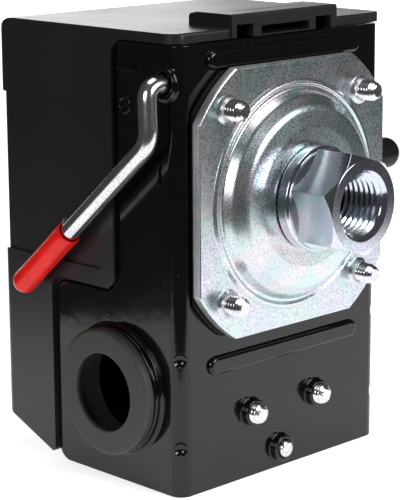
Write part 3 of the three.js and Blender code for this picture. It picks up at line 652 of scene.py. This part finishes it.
def grommet(name, outwards, face):
    hole, lip, neck = 8.2, 13.4, 10.8
    out, inside = -1.9, 1.7
    ring = round_profile([
        (hole, out - 2.2, 0.35), (lip, out - 2.2, 0.8), (lip, out, 0.3), (neck, out), (neck, inside),
        (neck + 1.8, inside), (neck + 1.8, inside + 1.9, 0.7), (hole + 1.3, inside + 1.9, 0.3),
        (hole + 1.3, out - 0.6, 0.4), (hole, out - 1.1, 0.3),
    ])
    made = turned([(r, face + outwards * a) for r, a in ring], "x", (GROMMET_Y, GROMMET_Z), 96)
    return piece(name + "_ring", made, "housing", GROMMET_RUBBER, [name])


# ---- Cover ---------------------------------------------------------------------------------------

COVER_FRONT = 0.3
COVER_LEFT, COVER_RIGHT = -1.0, WIDTH + 1.0


def cover_outside():
    side = outline([
        (38.1, 1.2, 0.8), (COVER_LOW_BACK, 8, 2.2), (COVER_LOW_BACK, 44.2, 0.8), (COVER_RECESS, 44.6), (COVER_RECESS, 78.8),
        (COVER_BACK, 79.1, 0.6), (COVER_BACK, COVER_TOP, 4.5), (COVER_FRONT, COVER_TOP, 0.6), (COVER_FRONT, 92.5),
        (18.3, 92.5, 3.2), (18.3, 41.2, 2.5), (38.1, 41.2, 3.2),
    ], 10)
    plan = outline([
        (COVER_LEFT, COVER_FRONT, 3.2), (COVER_RIGHT, COVER_FRONT, 3.2),
        (COVER_RIGHT, COVER_LOW_BACK, 2.4), (COVER_LEFT, COVER_LOW_BACK, 2.4),
    ], 10)
    return common(prism(side, "x", (COVER_LEFT, COVER_RIGHT)), prism(plan, "z", (0, COVER_TOP + 1)))


def cover_inside():
    side = outline([
        (-5, 3.2), (37.8, 3.2), (52.4, 9.4), (52.4, 42.6), (50.4, 43.6), (50.4, 79.8), (52, 80.8), (52, 92.5, 2.5), (-5, 92.5),
    ], 8)
    return prism(side, "x", (COVER_LEFT + 2, COVER_RIGHT - 2))


def steel_room(x):
    grown = [(-9, -0.3), (38.1, -0.3, 3.2), (38.1, 40.3, 3.2), (19.7, 40.3, 2.6), (19.7, 92.5, 3.2), (-9, 92.5)]
    return prism(outline(grown, 10), "x", x)


def cover_tongue(side):
    shape = outline([(33.5, 5), (39.5, 5), (39.5, 43.6), (21.5, 43.6), (21.5, 36), (33.5, 36, 2)], 6)
    x = (0.5, 3.2) if side < 0 else (WIDTH - 3.2, WIDTH - 0.5)
    room = (-0.3, SHEET + 0.3) if side < 0 else (WIDTH - SHEET - 0.3, WIDTH + 0.3)
    return cut(prism(shape, "x", x), steel_room(room))


def top_block():
    left, right, top = 14.7, WIDTH - 14.7, 97.2
    made = prism(outline([(-0.2, 92.5), (12, 92.5), (12, top - 0.5, 0.8), (9.6, top, 0.8), (-0.2, top, 0.5)]), "x", (left, right))
    slit = block((20, right - 5), (4.6, 5.1), (top - 0.5, top + 1))
    return cut(made, slit)


def rear_cover():
    shell = cut(cover_outside(), cover_inside(), steel_room((-0.3, WIDTH + 0.3)))
    bottom = block((2.1, WIDTH - 2.1), (6.5, 39.8), (1.2, 3.2))
    body = join(shell, top_block(), bottom, cover_tongue(-1), cover_tongue(1))
    pockets = [block(x, (-1.2, 7), z) for x, z in (
        ((16.1, 20.8), (92.2, 95.1)), ((23.2, 37.3), (92.8, 94.5)), ((39.3, 44.0), (92.2, 95.1)))]
    side_steps = [block(x, (22.5, 60), (44.6, 78.8)) for x in ((COVER_LEFT - 1, COVER_LEFT + 0.5), (COVER_RIGHT - 0.5, COVER_RIGHT + 1))]
    screw_way = rod("y", (MID, 74.5), 2.25, (49, 56))
    seat = rod("y", (MID, 74.5), 4.3, (52.0, 56))
    made = cut(body, *pockets, *side_steps, screw_way, seat)
    return piece("rear_cover", ease_edges(made, 0.28, 35), "cover", COVER_PLASTIC, ["cover"])


# ---- Pressure side -------------------------------------------------------------------------------


def cut_square(half, radius, span):
    made = block((MID - half, MID + half), span, (PORT_Z - half, PORT_Z + half))
    return common(made, rod("y", (MID, PORT_Z), radius, span, 128))


def diaphragm_sheet():
    """Rubber sheet whose edge shows as a thin black line round the flange."""
    made = cut_square(27.0, 33.2, (-0.78, -0.22))
    made = cut(made, *[rod("y", place, 2.25, (-2, 1)) for place in screw_places().values()])
    return piece("diaphragm_sheet", ease_edges(made, 0.12), "housing", SHEET_RUBBER, ["diaphragm"])


def flange_pressing():
    """Plate, rolled bead and flat-topped dome in one pressing, with a burr round each screw."""
    front, back, face = -3.2, -1.0, -7.9
    outer = round_profile([
        (0, face), (14.6, face, 6), (18.4, -7.35, 3), (20.8, -5.4, 2.5), (21.8, -3.55, 0.6), (22.5, -3.45, 0.3),
        (22.9, -3.85, 0.35), (23.5, -3.7, 0.3), (24.1, front, 0.5), (24.3, back), (0, back),
    ], 6)
    inner = [(0, -6.1), (14.4, -6.1), (17.4, -5.4), (19.4, -4.0), (20.4, -2.6), (20.4, 0), (0, 0)]
    burrs = []
    for x, z in screw_places().values():
        burrs.append(turned(round_profile([
            (0, front + 0.2), (3.4, front + 0.2), (3.0, front - 0.05, 0.8), (2.4, front - 0.6, 0.6),
            (2.2, front - 1.2, 0.1), (0, front - 1.2),
        ]), "y", (x, z), 48))
    plate = ease_edges(cut_square(27.6, 32.6, (front, back)), 0.35, 30, 3)
    plate = join(plate, turned(outer, "y", (MID, PORT_Z), 160), *burrs)
    ways = [rod("y", (MID, PORT_Z), 8.4, (face - 1, 0), 72), turned(inner, "y", (MID, PORT_Z), 96)]
    ways += [rod("y", place, 2.16, (-7, 1)) for place in screw_places().values()]
    made = piece("flange_pressing", cut(plate, *ways), "housing", FLANGE_ZINC, ["diaphragm_flange"], 38)
    made.data.materials.append(SHEARED_ZINC)
    axis = ORIGIN + Vector((MID, 0, PORT_Z)) * MM
    for side in made.data.polygons:
        offset = side.center - axis
        if abs(side.normal.y) < 0.5 and math.hypot(offset.x, offset.z) > 26 * MM:
            side.material_index = 1
    return made


def hex_port():
    """Hexagon fitting on a round collar, with a turned chamfer and a pipe thread cut in its bore."""
    front, back, ring, flats, collar_end = -21.7, -11.5, 9.4, 18.95, -8.2
    corner = flats / math.sqrt(3)
    hexagon_bar = prism(hexagon(MID, PORT_Z, flats, 162.4), "y", (front, back))
    chamfer = corner + 0.05 - ring
    envelope = turned([
        (0, front), (ring, front), (ring + chamfer, front + chamfer), (ring + chamfer, back), (0, back),
    ], "y", (MID, PORT_Z), 160)
    made = ease_edges(common(hexagon_bar, envelope), 0.16, 20, 2)
    base = turned(round_profile([
        (0, back - 0.1), (10.4, back - 0.1), (10.4, back + 0.5, 0.3), (10.9, back + 1.0, 0.3), (10.9, collar_end, 0.3),
        (8.1, collar_end), (8.1, -6.1, 0.3), (0, -6.1),
    ]), "y", (MID, PORT_Z), 128)
    made = join(made, base)
    thread = threaded_rod("y", (MID, PORT_Z), 6.95, 0.95, 1.41, (front - 1.0, -10.4), taper=0.3, steps=48)
    mouth = turned([(0, front - 1), (8.0, front - 1), (7.25, front), (6.2, front + 1.1), (0, front + 1.1)], "y", (MID, PORT_Z), 96)
    bore = rod("y", (MID, PORT_Z), 5.9, (front, -5), 96)
    return piece("hex_fitting", cut(made, thread, mouth, bore), "housing", HEX_ZINC, ["port_hex"], 30)


def screw_head(x, z, seat):
    head = turned(round_profile([(0, seat), (3, seat), (3, seat + 2.2, 0.8), (0, seat + 2.4)]), "y", (x, z), 40)
    slots = [block((x - a, x + a), (seat + 1.2, seat + 4), (z - b, z + b)) for a, b in ((1.6, 0.33), (0.33, 1.6))]
    return cut(head, *slots)


def machine_screw(name, x, z, tip, seat, body="housing", point=1.3):
    """Thread-forming screw: pointed threaded tip in front, cross-slotted head at the back."""
    thread = threaded_rod("y", (x, z), 2.15, 0.42, 0.72, (tip, tip + 6.5), point=point)
    made = join(thread, rod("y", (x, z), 1.75, (tip + 6, seat + 0.3)), screw_head(x, z, seat))
    return piece(name + "_threaded", made, body, ROD_ZINC, [name], 40)


def rivet():
    profile = round_profile([
        (0, -2.6), (1.75, -2.6, 0.6), (1.9, -1.0, 0.3), (1.9, 4.5), (2.6, 4.5, 0.1), (2.6, 5.2, 0.3), (1.6, 5.6, 0.3), (0, 5.6)])
    made = turned(profile, "y", (29.0, 4.5), 48)
    return piece("formed_rivet", made, "housing", ROD_ZINC, ["block_rivet"])


# ---- Lever ---------------------------------------------------------------------------------------


def bent(points, reach, spacing=0.6):
    """Points along a line that turns through short curves at its inner corners."""
    path, start = [], points[0]
    for i in range(1, len(points) - 1):
        here = points[i]
        enter = here + (points[i - 1] - here).normalized() * reach
        leave = here + (points[i + 1] - here).normalized() * reach
        count = max(2, int((enter - start).length / spacing))
        path += [start.lerp(enter, k / count) for k in range(count)]
        for k in range(8):
            t = k / 8
            path.append(enter * (1 - t) ** 2 + here * 2 * t * (1 - t) + leave * t ** 2)
        start = leave
    count = max(2, int((points[-1] - start).length / spacing))
    return path + [start.lerp(points[-1], k / count) for k in range(count + 1)]


def in_lever_plane(place):
    return Vector((LEVER_X, place[0], place[1]))


def lever_direction():
    return (in_lever_plane(LEVER_TIP) - in_lever_plane(LEVER_BEND)).normalized()


def lever_bar():
    droop = math.radians(-50)
    offset = Vector((0, 6.3 * math.cos(droop), 6.3 * math.sin(droop)))

    def on_axis(x):
        return Vector((x, LEVER_Y, LEVER_Z))

    rod_end = in_lever_plane(LEVER_TIP) - lever_direction() * 3.6
    path = bent([
        on_axis(WIDTH), on_axis(28), on_axis(25) + offset, on_axis(18) + offset, on_axis(15), on_axis(LEVER_X),
        in_lever_plane(LEVER_BEND), rod_end,
    ], 3.0)
    made = sweep(path, 2.0, 32)
    start = in_lever_plane(LEVER_TIP) - lever_direction() * 23.2
    side = Vector((0, 0.66, 0.75))
    ear = sweep([start + side * d for d in (1.2, 1.9, 2.6, 2.95)], [1.5, 1.25, 0.8, 0.3], 16)
    made = join(made, ear)
    return piece("lever_bar", made, "lever", ROD_ZINC, ["lever_rod"], 50)


def lever_grip():
    """Dipped sleeve with a soft lip, slight waist and a round end."""
    length, outer = 22.0, 2.65
    profile = [(2.2, length - 2.6), (2.2, 0.15), (2.35, 0.0), (outer - 0.12, 0.0), (outer, 0.25), (outer, 1.2)]
    profile += [(outer - 0.06 * math.sin(math.pi * k / 8), 1.2 + (length - outer - 1.2) * k / 8) for k in range(1, 8)]
    for k in range(10):
        angle = math.pi / 2 * k / 9
        profile.append((outer * math.cos(angle), length - outer + outer * math.sin(angle)))
    profile = [(0, length - 2.6)] + profile[:-1] + [(0, length)]
    made = turned(profile, "z", (0, 0), 40)
    start = in_lever_plane(LEVER_TIP) - lever_direction() * length
    turn = Vector((0, 0, 1)).rotation_difference(lever_direction()).to_matrix().to_4x4()
    made.data.transform(Matrix.Translation(start) @ turn)
    return piece("lever_grip", made, "lever", RED_PVC, ["lever_sleeve"], 40)


# ---- Unloader valve ------------------------------------------------------------------------------


def valve_pieces():
    centre = (VALVE_Y, VALVE_Z)
    barrel = threaded_rod("x", centre, 2.9, 0.35, 0.8, (55.6, 60.8), steps=24)
    nose = turned(round_profile([
        (0, 60.6), (2.6, 60.6), (2.6, 65.2), (2.1, 65.6), (2.6, 67.6), (2.1, 67.8), (2.4, 69.6, 0.3), (0, 69.6),
    ]), "x", centre, 48)
    collar_hex = ease_edges(prism(hexagon(*centre, 8.0), "x", (60.8, 63.6)), 0.25, 30)
    body = cut(join(barrel, collar_hex, nose), rod("x", centre, 1.2, (55, 66)))
    piece("valve_stem", body, "housing", BRASS, ["valve_body"])
    nut = cut(ease_edges(prism(hexagon(*centre, 8.0), "x", (56.0, 58.8)), 0.3, 30), rod("x", centre, 3.15, (55, 60)))
    piece("valve_locknut", nut, "housing", BRASS, ["valve_nut"])
    end, dome = 73.1, 3.0
    profile = [(0, 70), (2.9, 70), (2.9, 64.2), (3.05, 64.0), (3.3, 64.0), (3.45, 64.3), (3.45, end - dome)]
    for k in range(1, 10):
        angle = math.pi / 2 * k / 9
        profile.append((3.45 * math.cos(angle) if k < 9 else 0, end - dome + dome * math.sin(angle)))
    cap = turned(profile, "x", centre, 48)
    piece("valve_boot", cap, "valve_cap", SHEET_RUBBER, ["valve_cap"])


# ---- Mechanism -----------------------------------------------------------------------------------


def coil_path(x, z, radius, first, last, turns):
    """A helix along y whose end turns lie flat."""
    count = turns * 24
    path = []
    for k in range(count + 1):
        share = k / count
        flat = 0.75 / turns
        climb = min(1.0, max(0.0, (share - flat) / (1 - 2 * flat)))
        climb = climb * 0.94 + 0.03 * min(1.0, share / flat) + 0.03 * max(0.0, (share - 1 + flat) / flat)
        angle = 2 * math.pi * turns * share
        path.append(Vector((x + radius * math.cos(angle), first + (last - first) * climb, z + radius * math.sin(angle))))
    return path


def adjusting_group(label, x, z, stud, end, coil, wire, turns, cup, pitch):
    foot = 3.7
    thread = threaded_rod("y", (x, z), stud, stud * 0.14, pitch, (end, foot + 1.2), point=0.8, steps=12)
    shoulder = turned(round_profile([(0, 1.8), (stud - 0.3, 1.8), (stud - 0.3, foot), (stud + 1.7, foot, 0.2), (stud + 1.7, foot + 1.5, 0.3), (0, foot + 1.5)]), "y", (x, z), 48)
    piece(label + "_screw_stud", join(shoulder, thread), "housing", INNER_ZINC, [label + "_stud"], 40)
    floor = cup - 1.2
    cup_profile = round_profile([
        (stud + 0.3, cup), (coil + wire + 1.3, cup, 0.8), (coil + wire + 1.3, floor - 3.4, 0.2), (coil + wire + 0.4, floor - 3.4, 0.2),
        (coil + wire + 0.4, floor, 0.4), (stud + 0.3, floor),
    ])
    piece(label + "_cup_pressing", turned(cup_profile, "y", (x, z), 64), label + "_cup", INNER_ZINC, [label + "_spring_cup"])
    flats, thick = (10, 5) if label == "range" else (8, 4)
    corner = flats / math.sqrt(3)
    nut = prism(hexagon(x, z, flats), "y", (cup + 0.3, cup + 0.3 + thick))
    ease = turned([
        (0, cup + 0.3), (flats / 2, cup + 0.3), (corner + 0.05, cup + 0.8), (corner + 0.05, cup + thick - 0.2),
        (flats / 2, cup + 0.3 + thick), (0, cup + 0.3 + thick)], "y", (x, z), 64)
    nut = cut(common(nut, ease), rod("y", (x, z), stud + 0.25, (cup, cup + thick + 1)))
    piece(label + "_hex_nut", nut, label + "_nut", INNER_ZINC, [label + "_nut"])
    first = ROCKER_BACK + 0.3 + wire
    last = floor - 1.3 - wire
    spring = sweep(coil_path(x, z, coil, first, last, turns), wire, 14)
    piece(label + "_coil", spring, None, SPRING_STEEL, [label + "_spring"], 60)
    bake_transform(spring)


def contact_springs():
    for side, x in (("left", 19.0), ("right", 41.5)):
        path = coil_path(x, 30.9, 1.7, 18.85, 21.3, 4)
        made = sweep(path, 0.35, 10)
        piece("contact_coil_" + side, made, "contacts", SPRING_STEEL, ["contact_spring_" + side], 60)


CARRIED = {
    "zinc_plate": (INNER_ZINC, 0.15),
    "brass": (BRASS, 0.12),
    "block_plastic": (PHENOLIC, 0.2),
    "spring_steel": (SPRING_STEEL, 0.0),
    "diaphragm_rubber": (SHEET_RUBBER, 0.0),
    "painted_steel": (ENAMEL, 0.0),
    "black_plastic": (COVER_PLASTIC, 0.0),
    "cap_plastic": (COVER_PLASTIC, 0.0),
    "grommet_rubber": (GROMMET_RUBBER, 0.0),
    "red_pvc": (RED_PVC, 0.0),
}


def finish_carried_nodes():
    """Gives each CAD node its material, and eases the edges of those that show."""
    slots = {row["node"]: row["material_slot"] for row in frame["record"]["subparts"]}
    for name, node in frame["nodes"].items():
        material, width = CARRIED[slots[name]]
        node.data.materials.clear()
        node.data.materials.append(material)
        if width and not node.hide_render:
            step = node.modifiers.new("ease", "BEVEL")
            step.width = width * MM
            step.segments = 2
            step.limit_method = "ANGLE"
            step.angle_limit = math.radians(35)


# ---- Studio --------------------------------------------------------------------------------------

CAMERA_PLACE = (-248.60, -259.45, 133.73)
CAMERA_TURN = (-44.43, 12.8, -0.32)  # azimuth, elevation and roll, degrees
CAMERA_LENS = 134.8


def camera():
    data = bpy.data.cameras.new("camera")
    data.lens = CAMERA_LENS
    data.sensor_width = 36
    data.clip_start = 0.01
    data.clip_end = 20
    made = bpy.data.objects.new("camera", data)
    azimuth, elevation, roll = (math.radians(a) for a in CAMERA_TURN)
    back = Vector((math.sin(azimuth) * math.cos(elevation), -math.cos(azimuth) * math.cos(elevation), math.sin(elevation)))
    turn = (-back).to_track_quat("-Z", "Y").to_matrix() @ Matrix.Rotation(roll, 3, "Z")
    made.matrix_world = Matrix.Translation(ORIGIN + Vector(CAMERA_PLACE) * MM) @ turn.to_4x4()
    scene.collection.objects.link(made)
    scene.camera = made


FLOOR = dict(left=-0.155, right=0.27, front=-0.12, back=0.95)  # metres from the object's centre
CARD = dict(half=0.75, distance=0.93, top=0.27)


def stage_sheet(name, verts, glow):
    """A pale sheet, lit from behind, turned square to the camera."""
    mesh = bpy.data.meshes.new(name)
    mesh.from_pydata(verts, [], [(0, 1, 2, 3)])
    made = bpy.data.objects.new(name, mesh)
    made.matrix_world = Matrix.Rotation(math.radians(CAMERA_TURN[0]), 4, "Z")
    scene.collection.objects.link(made)
    paint = Shade(name + "_paint", Roughness=0.8)
    paint.colour(paint.mix(paint.noise(3, 2), (0.80, 0.80, 0.80), (0.84, 0.84, 0.84)))
    paint.shader.inputs["Emission Color"].default_value = (1, 1, 1, 1)
    paint.shader.inputs["Emission Strength"].default_value = glow
    mesh.materials.append(paint.material)


def floor():
    left, right, front, back = FLOOR["left"], FLOOR["right"], FLOOR["front"], FLOOR["back"]
    stage_sheet("floor", [(left, front, 0), (right, front, 0), (right, back, 0), (left, back, 0)], 0.72)
    half, far, top = CARD["half"], CARD["distance"], CARD["top"]
    stage_sheet("backdrop", [(-half, far, -0.05), (half, far, -0.05), (half, far, top), (-half, far, top)], 0.95)


def softbox(name, place, target, size, power):
    data = bpy.data.lights.new(name, "AREA")
    data.shape = "RECTANGLE"
    data.size, data.size_y = size
    data.energy = power
    made = bpy.data.objects.new(name, data)
    made.location = place
    made.rotation_mode = "QUATERNION"
    made.rotation_quaternion = (Vector(target) - Vector(place)).to_track_quat("-Z", "Y")
    scene.collection.objects.link(made)


def studio():
    world = bpy.data.worlds.new("studio")
    world.use_nodes = True
    world.node_tree.nodes["Background"].inputs["Color"].default_value = (1, 1, 1, 1)
    world.node_tree.nodes["Background"].inputs["Strength"].default_value = 0.06
    scene.world = world
    scene.view_settings.view_transform = "Standard"
    centre = (0, 0, 0.05)
    softbox("overhead", (0.0, 0.0, 0.75), centre, (0.40, 0.40), 1.6)
    softbox("key", (0.16, -0.60, 0.36), centre, (0.42, 0.24), 3.2)
    softbox("left", (-0.65, -0.20, 0.30), centre, (0.30, 0.30), 1.6)
    softbox("rim", (0.45, 0.80, 0.36), (0, 0, 0.09), (0.50, 0.22), 1.5)


# ---- Build ---------------------------------------------------------------------------------------

camera()
floor()
studio()
housing_shell()
grommet("grommet_left", 1, 0)
grommet("grommet_right", -1, WIDTH)
rear_cover()
diaphragm_sheet()
flange_pressing()
hex_port()
for label, (x, z) in screw_places().items():
    machine_screw("flange_screw_" + label, x, z, -8.3, 3.7, point=1.4)
for name, x in BLOCK_SCREWS.items():
    machine_screw(name, x, BLOCK_SCREW_Z, -3.8, 14.3, point=0.9)
for i, x in enumerate(TERMINAL_XS):
    machine_screw("terminal_screw_%d" % (i + 1), x, TERMINAL_SCREW_Z, 8.0, 15.6)
machine_screw("cover_screw", MID, 74.5, 44.7, 51.9, "cover")
rivet()
lever_bar()
lever_grip()
valve_pieces()
for label, sizes in SPRINGS.items():
    adjusting_group(label, **sizes)
contact_springs()
finish_carried_nodes()
